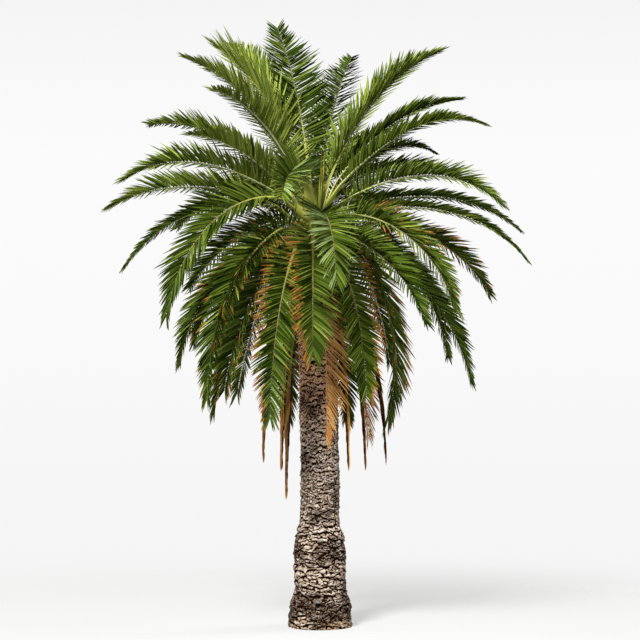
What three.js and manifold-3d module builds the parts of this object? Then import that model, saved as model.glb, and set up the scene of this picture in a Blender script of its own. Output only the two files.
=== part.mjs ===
// Canary Island date palm: a stout trunk, the heart of the crown and its fronds.
// Millimetres, +Z up. The origin is the centre of the flat cut under the trunk, at ground level.
// Azimuth 0 is +X and azimuth 90 is +Y. Angles in the tables are in degrees.

import * as THREE from 'three';
import Module from 'manifold-3d';

const wasm = await Module();
wasm.setup();

// ---------------------------------------------------------------- driving dimensions

const SEAT_GAP = 0.3; // clearance between a piece and the piece that carries it

// Trunk: a root swelling, a thicker lowest stretch and a straight column, which leans a little.
const TRUNK_HEIGHT = 5500;
const TRUNK_SIDES = 20;
const TRUNK_RINGS = 28;
const COLUMN_RADIUS = 322;
const COLUMN_TAPER = 14; // lost by the top
const COLLAR_RADIUS = 415;
const COLLAR_TOP = 1530; // middle of the slope from the collar to the column
const ROOT_RADIUS = 512;
const ROOT_TOP = 470; // middle of the slope from the root swelling to the collar
const SLOPE_HEIGHT = 420; // over which each of those slopes runs
const BARK_LUMPS = 0.028; // unevenness of the trunk, as a share of its radius
const LUMP_WAVES = [{ sides: 3, rise: 310 }, { sides: 2, rise: -190 }]; // turns round, and height per radian
const LEAN = -110; // drift of the crown's axis along X
const LEAN_POWER = 3; // the lean gathers towards the top

// Heart: the bud and the packed leaf bases that carry the fronds.
const HEART_HEIGHT = 1500;
const HEART_SIDES = 16;
const HEART_RINGS = 8;
const HEART_RADIUS = 392;
const SWELLING_SHARE = 0.35; // of its height, over which it widens from the trunk
const BUD_BLUNTNESS = 6; // power of the curve that closes it

// Fronds: each springs from the heart's axis, near the crown's centre.
const CROWN_CENTRE = 6455; // height at which a level frond springs
const CROWN_SPREAD = 340; // how much higher an upright frond springs
const SPRING_RADIUS = 90; // how far out from the axis
const BLADE_STATIONS = 14; // cross-sections along a frond, the tip included
const HALF_WIDTH = 330; // of the blade, in a breadth of 1
const FOLD = 24; // upward fold of each half of the blade
const RIB_DEPTH = 54; // at the base
const RIB_TIP_DEPTH = 12;
const PETIOLE_HALF_WIDTH = 42;
const PETIOLE_SHARE = 0.13; // bare share of the length
const WIDENING_SHARE = 0.16; // share over which the blade then widens
const TAPER_SHARE = 0.3; // share over which it narrows to the tip
const CURVE_STEPS = 8; // straight steps that make up the curve between two stations

const TIERS = {
  spear: {
    breadth: 0.9, colour: 0x5f7a2c,
    rows: [
      [110, 84, 43, 3.7, 0.8],
      [76, 56, 29, 4.05, 1.4],
    ],
  },
  upper: {
    breadth: 1, colour: 0x6a8230,
    rows: [
      [162, 79, 48, 3.3, 1.15],
      [-175, 69, 56, 3.35, 1.6],
      [-136, 60, 59, 2.95, 1.6],
      [20, 65, 49, 3.6, 1.85],
      [-2, 54, 57, 3.15, 1.85],
      [61, 50, 54, 3.3, 1.2],
      [-32, 41, 74, 3.65, 2.3],
      [-101, 48, 100, 2.8, 0.97],
      [155, 44, 58, 3.55, 1.9],
      [-150, 40, 49, 2.65, 2.25],
      [127, 66, 44, 3.8, 1.7],
    ],
  },
  middle: {
    breadth: 1, colour: 0x4f6b28,
    rows: [
      [56, 32, 53, 4.15, 2.25],
      [26, 45, 68, 2.9, 1.0],
      [-28, 25, 77, 3.6, 1.9],
      [12, 17, 63, 3.7, 1.8],
      [-12, 11, 70, 3.8, 1.8],
      [-160, 31, 74, 3.45, 1.9],
      [172, 21, 58, 3.55, 1.8],
      [158, 19, 77, 3.8, 1.2],
      [-82, 8, 98, 3.15, 1.8],
      [-138, 34, 116, 4.05, 0.75],
      [68, 24, 66, 3.8, 1.2],
      [90, 30, 66, 3.8, 1.2],
      [115, 36, 66, 3.7, 1.2],
      [132, 26, 66, 3.7, 1.2],
    ],
  },
  lower: {
    breadth: 1, colour: 0x48632a,
    rows: [
      [-32, 14, 92, 3.4, 0.95],
      [28, 3, 67, 3.8, 1.7],
      [-55, -10, 54, 3.55, 1.7],
      [37, -4, 80, 3.9, 1.2],
      [20, -10, 70, 4.05, 1.0],
      [140, 6, 60, 3.1, 1.0],
      [-133, 4, 96, 4.15, 0.7],
      [-152, -20, 64, 3.0, 1.6],
      [62, -5, 74, 3.9, 1.0],
      [82, 4, 76, 3.8, 1.0],
      [105, 0, 76, 3.8, 1.0],
      [125, -6, 72, 3.9, 1.0],
      [162, -10, 74, 3.5, 1.0],
    ],
  },
  hanging: {
    breadth: 1, colour: 0x4d6f2c,
    rows: [
      [-20, 0, 107, 3.9, 0.5],
      [-60, -7, 82, 3.5, 0.5],
      [-90, 2, 86, 3.1, 0.55],
      [-112, -4, 86, 3.9, 0.46],
      [-139, -22, 60, 3.4, 0.7],
      [130, -20, 58, 3.6, 0.6],
      [72, -24, 62, 3.8, 0.6],
      [103, -22, 62, 3.9, 0.6],
      [158, -22, 64, 3.7, 0.6],
    ],
  },
  dead: {
    breadth: 0.75, colour: 0xa8703a,
    rows: [
      [-79, -33, 68, 3.7, 0.6],
      [33, -40, 48, 3.65, 0.4],
      [90, -45, 42, 3.9, 0.4],
    ],
  },
  folded: {
    breadth: 0.25, colour: 0x7a4a26,
    rows: [
      [-54, -50, 38, 3.8, 0.4],
      [-28, -48, 41, 3.8, 0.4],
      [-4, -38, 50, 3.85, 0.4],
      [145, -43, 46, 3.8, 0.4],
      [128, -50, 40, 3.9, 0.4],
      [116, -46, 44, 4.4, 0.4],
    ],
  },
};

const BARK_FINISH = { colour: 0xa08a70, roughness: 0.95 };
const HEART_FINISH = { colour: 0x8f8f45, roughness: 0.8 };
const FROND_ROUGHNESS = 0.6;

// ---------------------------------------------------------------- small helpers

const radians = THREE.MathUtils.degToRad;
const smooth = THREE.MathUtils.smoothstep;

// Where the leaning axis of the tree runs at a height.
function axisAt(z) {
  return new THREE.Vector3(LEAN * (z / CROWN_CENTRE) ** LEAN_POWER, 0, z);
}

// A closed geometry through rings of equal length, fanned shut at a first and a last point.
function skin(first, rings, last) {
  const count = rings[0].length;
  const points = [first, ...rings.flat(), last];
  const lastIndex = points.length - 1;
  const index = [];
  for (let j = 0; j < count; j += 1) {
    const k = (j + 1) % count;
    index.push(0, 1 + k, 1 + j);
    for (let i = 0; i < rings.length - 1; i += 1) {
      const low = 1 + i * count;
      const high = low + count;
      index.push(low + j, low + k, high + k);
      index.push(low + j, high + k, high + j);
    }
    const top = 1 + (rings.length - 1) * count;
    index.push(lastIndex, top + j, top + k);
  }
  const geometry = new THREE.BufferGeometry().setFromPoints(points);
  geometry.setIndex(index);
  return geometry;
}

function toSolid(geometry) {
  return new wasm.Manifold(new wasm.Mesh({
    numProp: 3,
    vertProperties: new Float32Array(geometry.attributes.position.array),
    triVerts: new Uint32Array(geometry.index.array),
  }));
}

function toGeometry(solid) {
  const { vertProperties, triVerts } = solid.getMesh();
  const geometry = new THREE.BufferGeometry();
  geometry.setAttribute('position', new THREE.BufferAttribute(vertProperties, 3));
  geometry.setIndex(new THREE.BufferAttribute(triVerts, 1));
  return geometry;
}

function namedMesh(name, geometry, { colour, roughness }) {
  const material = new THREE.MeshStandardMaterial({ color: colour, roughness, metalness: 0 });
  const mesh = new THREE.Mesh(geometry, material);
  mesh.name = name;
  return mesh;
}

// ---------------------------------------------------------------- trunk and heart

function trunkRadius(z, angle) {
  const column = COLUMN_RADIUS - COLUMN_TAPER * (z / TRUNK_HEIGHT);
  const overCollar = smooth(z, COLLAR_TOP - SLOPE_HEIGHT / 2, COLLAR_TOP + SLOPE_HEIGHT / 2);
  const overRoots = smooth(z, ROOT_TOP - SLOPE_HEIGHT / 2, ROOT_TOP + SLOPE_HEIGHT / 2);
  const collar = THREE.MathUtils.lerp(COLLAR_RADIUS, column, overCollar);
  const radius = THREE.MathUtils.lerp(ROOT_RADIUS, collar, overRoots);
  const waves = LUMP_WAVES.map(({ sides, rise }, i) => Math.sin(sides * angle + z / rise + i));
  const lumps = waves.reduce((sum, wave) => sum + wave, 0);
  return radius * (1 + (BARK_LUMPS * lumps) / LUMP_WAVES.length);
}

function ringAt(z, sides, radiusAt) {
  const centre = axisAt(z);
  return Array.from({ length: sides }, (_, j) => {
    const angle = (2 * Math.PI * j) / sides;
    const radius = radiusAt(angle);
    return new THREE.Vector3(radius * Math.cos(angle), radius * Math.sin(angle), 0).add(centre);
  });
}

function trunkGeometry() {
  const rings = [];
  for (let i = 0; i < TRUNK_RINGS; i += 1) {
    const z = (TRUNK_HEIGHT * i) / (TRUNK_RINGS - 1);
    rings.push(ringAt(z, TRUNK_SIDES, (angle) => trunkRadius(z, angle)));
  }
  return skin(axisAt(0), rings, axisAt(TRUNK_HEIGHT));
}

// The heart swells from the trunk's width and closes to a blunt bud; grow adds a clearance.
function heartGeometry(grow) {
  const foot = TRUNK_HEIGHT + SEAT_GAP;
  const footRadius = COLUMN_RADIUS - COLUMN_TAPER;
  const rings = [];
  for (let i = 0; i < HEART_RINGS; i += 1) {
    const share = i / HEART_RINGS;
    const swelling = smooth(share, 0, SWELLING_SHARE);
    const closing = Math.sqrt(1 - share ** BUD_BLUNTNESS);
    const radius = THREE.MathUtils.lerp(footRadius, HEART_RADIUS, swelling) * closing + grow;
    rings.push(ringAt(foot + HEART_HEIGHT * share, HEART_SIDES, () => radius));
  }
  return skin(axisAt(foot), rings, axisAt(foot + HEART_HEIGHT + grow));
}

// ---------------------------------------------------------------- fronds

// Half of the blade's breadth at a share of the length.
function halfWidthAt(share, breadth) {
  const widening = smooth(share, PETIOLE_SHARE, PETIOLE_SHARE + WIDENING_SHARE);
  const full = THREE.MathUtils.lerp(PETIOLE_HALF_WIDTH, HALF_WIDTH * breadth, widening);
  const left = Math.min(1, (1 - share) / TAPER_SHARE);
  return full * Math.sqrt(left * (2 - left));
}

// The frond's cross-section: a shallow V with the rib's ridge and keel in its middle.
function bladeSection(place, along, across, share, breadth) {
  const up = new THREE.Vector3().crossVectors(along, across);
  const halfWidth = halfWidthAt(share, breadth);
  const halfDepth = THREE.MathUtils.lerp(RIB_DEPTH, RIB_TIP_DEPTH, share) / 2;
  const wing = halfWidth * Math.cos(radians(FOLD));
  const rise = halfWidth * Math.sin(radians(FOLD));
  return [[wing, rise], [0, halfDepth], [-wing, rise], [0, -halfDepth]].map(([side, height]) => (
    place.clone().addScaledVector(across, side).addScaledVector(up, height)
  ));
}

function frondGeometry([azimuth, lift, droop, metres, late], breadth) {
  const steps = (BLADE_STATIONS - 1) * CURVE_STEPS;
  const outward = new THREE.Vector3(Math.cos(radians(azimuth)), Math.sin(radians(azimuth)), 0);
  const across = new THREE.Vector3(-outward.y, outward.x, 0);
  const place = axisAt(CROWN_CENTRE + CROWN_SPREAD * Math.sin(radians(lift)));
  place.addScaledVector(outward, SPRING_RADIUS);
  const first = place.clone();
  const rings = [];
  for (let i = 0; i < steps; i += 1) {
    const slope = radians(lift - droop * ((i + 0.5) / steps) ** late);
    const along = outward.clone().multiplyScalar(Math.cos(slope));
    along.z = Math.sin(slope);
    if (i % CURVE_STEPS === 0) {
      rings.push(bladeSection(place, along, across, i / steps, breadth));
    }
    place.addScaledVector(along, (metres * 1000) / steps);
  }
  return skin(first, rings, place.clone());
}

// ---------------------------------------------------------------- assembly

const palm = new THREE.Group();
palm.add(namedMesh('trunk', trunkGeometry(), BARK_FINISH));
palm.add(namedMesh('heart', heartGeometry(0), HEART_FINISH));

const heartClearance = toSolid(heartGeometry(SEAT_GAP));
for (const [tier, { breadth, colour, rows }] of Object.entries(TIERS)) {
  rows.forEach((row, i) => {
    const frond = toSolid(frondGeometry(row, breadth)).subtract(heartClearance);
    const name = `${tier}_frond_${String(i + 1).padStart(2, '0')}`;
    palm.add(namedMesh(name, toGeometry(frond), { colour, roughness: FROND_ROUGHNESS }));
  });
}

export default palm;
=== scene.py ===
"""A Canary Island date palm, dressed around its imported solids.

The trunk gets bark in relief, the heart gets cut leaf bases and unopened spears, and every blade gives
way to a rib with folded leaflets. Metres, +Z up, with the origin at ground level under the trunk.
"""

import logging
import math
from dataclasses import dataclass, field
from enum import Enum
from typing import Any

import bpy
import numpy as np
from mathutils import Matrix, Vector, noise


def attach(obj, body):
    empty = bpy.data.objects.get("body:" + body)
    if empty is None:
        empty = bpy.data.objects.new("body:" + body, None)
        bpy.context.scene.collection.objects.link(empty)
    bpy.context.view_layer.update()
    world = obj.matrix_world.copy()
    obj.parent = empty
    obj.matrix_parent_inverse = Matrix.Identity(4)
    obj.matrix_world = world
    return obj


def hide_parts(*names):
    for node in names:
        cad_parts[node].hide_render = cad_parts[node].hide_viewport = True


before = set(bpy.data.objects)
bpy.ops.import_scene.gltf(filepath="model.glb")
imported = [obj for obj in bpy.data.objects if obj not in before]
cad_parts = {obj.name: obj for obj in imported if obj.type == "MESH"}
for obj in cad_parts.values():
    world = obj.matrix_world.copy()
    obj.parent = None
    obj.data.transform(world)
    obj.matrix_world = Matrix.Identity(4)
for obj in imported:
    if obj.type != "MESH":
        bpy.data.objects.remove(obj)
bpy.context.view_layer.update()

Array = np.ndarray
Colour = tuple[float, float, float, float]
Triple = tuple[float, float, float]
Traits = dict[str, Array]
Material = bpy.types.Material
Socket = bpy.types.NodeSocket
log = logging.getLogger("palm")

BODY = "root"
SEED = 4711
GOLDEN_ANGLE = math.pi * (3 - math.sqrt(5))
UP = np.array([0.0, 0.0, 1.0])
TRUNK_TOP = 5.5
BAKE_MAP = "OFBake"
# Bark shader numbers: crevice is painted shade in recesses, scar partly a painted highlight on raised bark.
BARK_TRAITS = ("crevice", "scar", "soot", "height")


# ---------------- numbers


def unit(vectors: Array) -> Array:
    """Vectors scaled to length 1 along their last axis."""
    return vectors / np.maximum(np.linalg.norm(vectors, axis=-1, keepdims=True), 1e-9)


def smooth(low: float, high: float, value: Array) -> Array:
    """A rise from 0 at low to 1 at high that starts and ends level."""
    share = np.clip((value - low) / (high - low), 0, 1)
    return share * share * (3 - 2 * share)


def blend(start: Any, end: Any, share: Any) -> Any:
    """The value at a share of the way from start to end."""
    return start + (end - start) * share


def display(red: float, green: float, blue: float) -> Colour:
    """A colour for a shader.

    Args:
        red: how much red a screen shows, up to 255.
        green: how much green.
        blue: how much blue.

    Returns:
        The same colour in linear light.
    """
    channels = [value / 255 for value in (red, green, blue)]
    light = [c / 12.92 if c <= 0.04045 else ((c + 0.055) / 1.055) ** 2.4 for c in channels]
    return (light[0], light[1], light[2], 1.0)


def wander(rng: np.random.Generator, count: int, reach: int) -> Array:
    """Random values of about -1 to 1 that drift along a row.

    Args:
        rng: source of the random values.
        count: how many values.
        reach: over how many neighbours one value spreads.

    Returns:
        The row of values.
    """
    window = np.hanning(reach + 2)[1:-1]
    raw = rng.normal(size=count + reach - 1)
    return np.convolve(raw, window / np.linalg.norm(window), mode="valid")


def fractal(spots: Array, stretch: Triple, octaves: int, shift: float) -> Array:
    """Layered noise of about -1 to 1 at places that are stretched along their axes and shifted."""
    places = spots * stretch + shift
    return np.array([noise.fractal(Vector(place), 0.85, 2.15, octaves) for place in places])


def ring(sides: int) -> Array:
    """Angles once round, from -pi to pi, with the first again at the end."""
    return np.linspace(-math.pi, math.pi, sides + 1)


def flat_grid(across: Array, down: Array) -> Array:
    """The places on the bake map of a grid of points, with across along its columns."""
    return np.stack(np.meshgrid(across, down), axis=-1)


# ---------------- shaders


class Value:
    """A shader socket that reads as a number in an expression."""

    def __init__(self, graph: "Graph", socket: Socket) -> None:
        """Wraps a socket of a graph."""
        self.graph = graph
        self.socket = socket

    def __add__(self, other: "Value | float") -> "Value":
        """The sum."""
        return self.graph.maths("ADD", self, other)

    def __radd__(self, other: float) -> "Value":
        """The sum, with the number first."""
        return self.graph.maths("ADD", other, self)

    def __sub__(self, other: "Value | float") -> "Value":
        """The difference."""
        return self.graph.maths("SUBTRACT", self, other)

    def __rsub__(self, other: float) -> "Value":
        """The difference, with the number first."""
        return self.graph.maths("SUBTRACT", other, self)

    def __mul__(self, other: "Value | float") -> "Value":
        """The product."""
        return self.graph.maths("MULTIPLY", self, other)

    def __rmul__(self, other: float) -> "Value":
        """The product, with the number first."""
        return self.graph.maths("MULTIPLY", other, self)

    def step(self, low: "Value | float", high: "Value | float") -> "Value":
        """A smooth rise from 0 where it equals low to 1 where it equals high.

        Args:
            low: where the rise begins.
            high: where it ends.

        Returns:
            The risen value.
        """
        sockets = {"Value": self, "From Min": low, "From Max": high}
        made = self.graph.node("ShaderNodeMapRange", {"interpolation_type": "SMOOTHSTEP"}, sockets)
        return Value(self.graph, made.outputs["Result"])


class Graph:
    """A node tree that is written as expressions."""

    def __init__(self, owner: Material | bpy.types.World) -> None:
        """Empties a node tree and takes it over.

        Args:
            owner: the material or world that it belongs to.
        """
        owner.use_nodes = True
        self.tree = owner.node_tree
        self.tree.nodes.clear()

    def node(
        self, kind: str, settings: dict[str, Any] | None = None, sockets: dict[Any, Any] | None = None
    ) -> Any:
        """Adds a node.

        Args:
            kind: the node's type.
            settings: its properties; "stops" sets a colour ramp's places and colours.
            sockets: values or links for its inputs, by name or number.

        Returns:
            The node.
        """
        made = self.tree.nodes.new(kind)
        for name, value in (settings or {}).items():
            if name == "stops":
                self._set_stops(made.color_ramp, value)
            else:
                setattr(made, name, value)
        for name, value in (sockets or {}).items():
            self._feed(made.inputs[name], value)
        return made

    @staticmethod
    def _set_stops(ramp: bpy.types.ColorRamp, stops: tuple[tuple[float, Colour], ...]) -> None:
        """Gives a ramp its stops.

        Args:
            ramp: the ramp.
            stops: the place and the colour of each stop.
        """
        while len(ramp.elements) < len(stops):
            ramp.elements.new(1.0)
        for element, (place, colour) in zip(ramp.elements, stops):
            element.position = place
            element.color = colour

    def _feed(self, target: Socket, value: Any) -> None:
        """Links a socket or sets its value.

        Args:
            target: the socket.
            value: what it is linked to, or its value.
        """
        value = value.socket if isinstance(value, Value) else value
        if isinstance(value, Socket):
            self.tree.links.new(value, target)
        else:
            target.default_value = value

    def maths(self, operation: str, first: Any, second: Any) -> Value:
        """A Math node on two values."""
        made = self.node("ShaderNodeMath", {"operation": operation}, {0: first, 1: second})
        return Value(self, made.outputs[0])

    def mix(self, factor: Any, first: Any, second: Any, way: str = "MIX") -> Socket:
        """A Mix node on two colours.

        Args:
            factor: how much of the second colour shows.
            first: the colour at factor 0.
            second: the colour at factor 1.
            way: how they mix.

        Returns:
            The mixed colour.
        """
        settings = {"data_type": "RGBA", "blend_type": way}
        return self.node("ShaderNodeMix", settings, {0: factor, 6: first, 7: second}).outputs[2]

    def attribute(self, name: str) -> Value:
        """A number that the mesh carries on its points."""
        return Value(self, self.node("ShaderNodeAttribute", {"attribute_name": name}).outputs["Fac"])

    def place(self, stretch: Triple = (1, 1, 1)) -> Socket:
        """The place on the object, stretched along its axes."""
        sockets = {0: self.node("ShaderNodeTexCoord").outputs["Object"], 1: stretch}
        return self.node("ShaderNodeVectorMath", {"operation": "MULTIPLY"}, sockets).outputs["Vector"]

    def noise(self, vector: Socket, scale: float, detail: float, rough: float = 0.6) -> Value:
        """A Noise Texture's value."""
        sockets = {"Vector": vector, "Scale": scale, "Detail": detail, "Roughness": rough}
        return Value(self, self.node("ShaderNodeTexNoise", None, sockets).outputs["Fac"])

    @classmethod
    def for_material(cls, name: str) -> tuple["Graph", Material]:
        """A new material and its empty graph."""
        made = bpy.data.materials.new(name)
        return cls(made), made

    def surface(self, **sockets: Any) -> None:
        """Ends the graph in a Principled BSDF; an underscore in a name stands for a space."""
        named = {name.replace("_", " "): value for name, value in sockets.items()}
        shader = self.node("ShaderNodeBsdfPrincipled", None, named)
        self.node("ShaderNodeOutputMaterial", None, {"Surface": shader.outputs["BSDF"]})


@dataclass(frozen=True)
class LeafFinish:
    """One plain tone of leaflet: satin when green, matt when dry."""

    name: str
    colour: Colour
    roughness: float = 0.5
    specular: float = 0.05

    def material(self) -> Material:
        """Makes the material.

        Returns:
            A material of the plain tone.
        """
        graph, made = Graph.for_material(self.name)
        graph.surface(Base_Color=self.colour, Roughness=self.roughness, Specular_IOR_Level=self.specular)
        return made


class Tone(Enum):
    """The leaflets' tones, from the freshest green to the darkest dry one."""

    # The first tone is a paler green that some leaflets get as a painted highlight.
    PAINTED_HIGHLIGHT = LeafFinish("leaf_painted_highlight", display(126, 144, 84), 0.45, 0.15)
    FRESH = LeafFinish("leaf_fresh", display(130, 142, 60))
    OLIVE = LeafFinish("leaf_olive", display(98, 112, 42))
    LEAF = LeafFinish("leaf_green", display(70, 86, 24))
    DEEP = LeafFinish("leaf_deep", display(41, 56, 6))
    SHADE = LeafFinish("leaf_shade", display(18, 28, 2))
    YELLOWING = LeafFinish("leaf_yellowing", display(112, 104, 34))
    TAN = LeafFinish("leaf_tip_tan", display(152, 98, 48), 0.8)
    BROWN = LeafFinish("leaf_tip_brown", display(118, 70, 30), 0.8)
    STRAW = LeafFinish("dry_straw", display(198, 152, 88), 0.8)
    RUSSET = LeafFinish("dry_russet", display(166, 114, 56), 0.8)
    UMBER = LeafFinish("dry_umber", display(116, 64, 26), 0.85)
    DARK = LeafFinish("dry_dark", display(52, 28, 12), 0.9)


TONES = list(Tone)
GREENS = (Tone.FRESH, Tone.OLIVE, Tone.LEAF, Tone.DEEP, Tone.SHADE)
BROWNS = (Tone.STRAW, Tone.RUSSET, Tone.UMBER, Tone.DARK)
TIPS = (Tone.BROWN, Tone.TAN)


def numbers_of(tones: tuple[Tone, ...]) -> Array:
    """The tones' material slots."""
    return np.array([TONES.index(tone) for tone in tones])


@dataclass(frozen=True)
class RibFinish:
    """Smooth petiole and rachis: yellow-green where it leaves the heart, paler and greyer outwards.

    The stops run from foot to tip. Under is for the lower side, scurf for flecks, and aged tints old ribs.
    """

    name: str
    stops: tuple[tuple[float, Colour], ...]
    under: Colour
    scurf: Colour
    aged: Colour

    def material(self) -> Material:
        """Makes the material.

        Returns:
            A material that reads the place along the rib, its side and its age.
        """
        graph, made = Graph.for_material(self.name)
        share = graph.attribute("share")
        below = graph.attribute("below")
        fibres = graph.noise(graph.place(), 60, 4)
        blotches = graph.noise(graph.place(), 9, 3)
        along = graph.node("ShaderNodeValToRGB", {"stops": self.stops}, {"Fac": share}).outputs["Color"]
        sided = graph.mix(below * share.step(0.14, 0.4) * 0.8, along, self.under)
        worn = graph.mix(blotches.step(0.6, 0.76) * (1 - share.step(0.03, 0.16)) * 0.35, sided, self.scurf)
        streaked = graph.mix(fibres.step(0.5, 0.8) * 0.3, worn, self.under, "MULTIPLY")
        aged = graph.mix(graph.attribute("age"), streaked, self.aged, "MULTIPLY")
        graph.surface(Base_Color=aged, Roughness=0.45, Specular_IOR_Level=0.3)
        return made


@dataclass(frozen=True)
class BarkFinish:
    """Weathered bark: mottled scar faces from pale to grey, paler on raised bark as a painted highlight,
    browner above, ochre at the foot.

    Umber is for the flecks and for painted shade on the crevices' rims, and deep for painted shade in the
    crevices and for the soot.
    BARK_NOISES holds the upward stretch, scale, detail and roughness of the mottle, flecks, grain and
    stains.
    """

    name: str
    pale: Colour
    grey: Colour
    upper: Colour
    foot: Colour
    umber: Colour
    deep: Colour

    def material(self) -> Material:
        """Makes the material.

        Returns:
            A material that reads the relief's own numbers.
        """
        graph, made = Graph.for_material(self.name)
        crevice, scar, soot, height = (graph.attribute(name) for name in BARK_TRAITS)
        mottle, flecks, grain, stains = (
            graph.noise(graph.place((1, 1, stretch)), *others) for stretch, *others in BARK_NOISES
        )
        clean = height.step(0.3, 0.45)
        layers = (
            # Pale where scar is high: a painted highlight on raised bark, and each chip's own tone.
            (mottle.step(0.38, 0.56) * (0.3 + scar * 0.7), self.pale),
            (height.step(0.5, 0.76) * (0.45 + stains.step(0.4, 0.6) * 0.4), self.upper),
            ((1 - height.step(0.0, 0.07)) * stains.step(0.42, 0.56) * 0.75, self.foot),
            (flecks.step(0.52, 0.66) * 0.6, self.umber),
            (soot * (0.28 + flecks.step(0.4, 0.54) * 0.72), self.deep),
            (grain.step(0.46, 0.64) * mottle.step(0.64, 0.46) * 0.85, self.deep),
            # Painted shade: crevices darken to umber at their rims and to deep inside, less so higher up.
            (crevice.step(clean * 0.06, 0.2 + clean * 0.16) * 0.75, self.umber),
            (crevice.step(0.04 + clean * 0.1, 0.3 + clean * 0.28), self.deep),
        )
        colour = self.grey
        for share, tint in layers:
            colour = graph.mix(share, colour, tint)
        relief = {"Height": mottle * 0.4 + flecks * 0.4 + grain * 0.2, "Distance": 0.02, "Strength": 0.9}
        bump = graph.node("ShaderNodeBump", None, relief).outputs["Normal"]
        graph.surface(Base_Color=colour, Roughness=0.92, Specular_IOR_Level=0.02, Normal=bump)
        return made


BARK_NOISES = (
    (2.2, 13, 7, 0.68),
    (2.6, 34, 6, 0.7),
    (3.5, 80, 5, 0.65),
    (1.6, 5.5, 5, 0.6),
)
LIVE_RIB = RibFinish(
    name="rib_live",
    stops=(
        (0.0, display(164, 166, 74)),
        (0.14, display(172, 176, 80)),
        (0.26, display(162, 166, 74)),
        (0.55, display(116, 106, 58)),
        (1.0, display(88, 88, 40)),
    ),
    under=display(200, 202, 172),
    scurf=display(96, 70, 30),
    aged=display(170, 150, 130),
)
DRY_RIB = RibFinish(
    name="rib_dry",
    stops=(
        (0.0, display(140, 104, 52)),
        (0.3, display(176, 122, 66)),
        (0.7, display(196, 140, 88)),
        (1.0, display(150, 96, 48)),
    ),
    under=display(206, 164, 120),
    scurf=display(80, 46, 20),
    aged=display(150, 120, 100),
)
BARK = BarkFinish(
    name="bark",
    pale=display(218, 204, 189),
    grey=display(152, 130, 108),
    upper=display(214, 158, 112),
    foot=display(150, 122, 78),
    umber=display(112, 66, 34),
    deep=display(16, 6, 1),
)
BASES = BarkFinish(
    name="leaf_bases",
    pale=display(150, 122, 78),
    grey=display(116, 92, 60),
    upper=display(130, 128, 52),
    foot=display(120, 90, 60),
    umber=display(110, 80, 40),
    deep=display(38, 26, 14),
)


# ---------------- meshes


def grid_triangles(rows: int, columns: int) -> Array:
    """Faces of a grid of points, two to a cell.

    Args:
        rows: how many rows of points.
        columns: how many points in a row; they are counted row by row.

    Returns:
        The faces, three point numbers each.
    """
    corner = np.arange(rows - 1)[:, None] * columns + np.arange(columns - 1)
    low = np.stack([corner, corner + 1, corner + columns + 1], axis=-1)
    high = np.stack([corner, corner + columns + 1, corner + columns], axis=-1)
    return np.stack([low, high], axis=2).reshape(-1, 3)


def add_object(name: str, data: bpy.types.ID) -> bpy.types.Object:
    """Adds an object to the scene.

    Args:
        name: its name.
        data: its mesh, lamp or camera.

    Returns:
        The object.
    """
    made = bpy.data.objects.new(name, data)
    bpy.context.scene.collection.objects.link(made)
    return made


@dataclass
class Sheaf:
    """Triangles of many small parts, gathered to become one object."""

    points: list[Array] = field(default_factory=list)
    triangles: list[Array] = field(default_factory=list)
    slots: list[Array] = field(default_factory=list)
    flats: list[Array] = field(default_factory=list)
    traits: dict[str, list[Array]] = field(default_factory=dict)
    count: int = 0

    def add(
        self,
        points: Array,
        triangles: Array,
        slots: Array | int = 0,
        flat: Array | None = None,
        **traits: Array,
    ) -> None:
        """Adds a part.

        Args:
            points: its points, three numbers each.
            triangles: its faces, three point numbers each.
            slots: the material slot of each face, or of all.
            flat: a place on the bake map for each point.
            traits: a number for each point, by name, for the shaders.
        """
        self.points.append(points)
        self.triangles.append(triangles + self.count)
        self.slots.append(np.broadcast_to(slots, len(triangles)))
        self.count += len(points)
        if flat is not None:
            self.flats.append(flat)
        for name, values in traits.items():
            self.traits.setdefault(name, []).append(values)

    def add_grid(self, points: Array, flat: Array, **traits: Array | float) -> None:
        """Adds a sheet of faces through a grid of points.

        Args:
            points: the points in their rows and columns.
            flat: their places on the bake map.
            traits: numbers for the shaders, by name, that spread over the grid.
        """
        rows, columns = points.shape[:2]
        held = {name: np.broadcast_to(values, (rows, columns)).ravel() for name, values in traits.items()}
        self.add(points.reshape(-1, 3), grid_triangles(rows, columns), 0, flat.reshape(-1, 2), **held)

    def build(self, name: str, materials: list[Material]) -> bpy.types.Object:
        """Makes the object.

        Args:
            name: the object's name.
            materials: its material slots, in order.

        Returns:
            The object, smooth shaded and linked to the scene.
        """
        points = np.concatenate(self.points)
        triangles = np.concatenate(self.triangles)
        mesh = bpy.data.meshes.new(name)
        mesh.vertices.add(len(points))
        mesh.vertices.foreach_set("co", points.astype(np.float32).ravel())
        mesh.loops.add(triangles.size)
        mesh.loops.foreach_set("vertex_index", triangles.astype(np.int32).ravel())
        mesh.polygons.add(len(triangles))
        mesh.polygons.foreach_set("loop_start", np.arange(0, triangles.size, 3, dtype=np.int32))
        for material in materials:
            mesh.materials.append(material)
        mesh.polygons.foreach_set("material_index", np.concatenate(self.slots).astype(np.int32))
        mesh.polygons.foreach_set("use_smooth", np.ones(len(triangles), bool))
        mesh.update(calc_edges=True)
        for trait, values in self.traits.items():
            kept = mesh.attributes.new(trait, "FLOAT", "POINT")
            kept.data.foreach_set("value", np.concatenate(values).astype(np.float32))
        if self.flats:
            flats = np.concatenate(self.flats)[triangles.ravel()]
            mesh.uv_layers.new(name=BAKE_MAP).uv.foreach_set("vector", flats.astype(np.float32).ravel())
        return add_object(name, mesh)


def report(piece: bpy.types.Object, nodes: list[str]) -> None:
    """Seats a piece in the frame and logs it.

    Args:
        piece: the finished piece.
        nodes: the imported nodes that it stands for.
    """
    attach(piece, BODY)
    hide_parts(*nodes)
    log.info("%s: %d faces for %d nodes", piece.name, len(piece.data.polygons), len(nodes))


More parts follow.
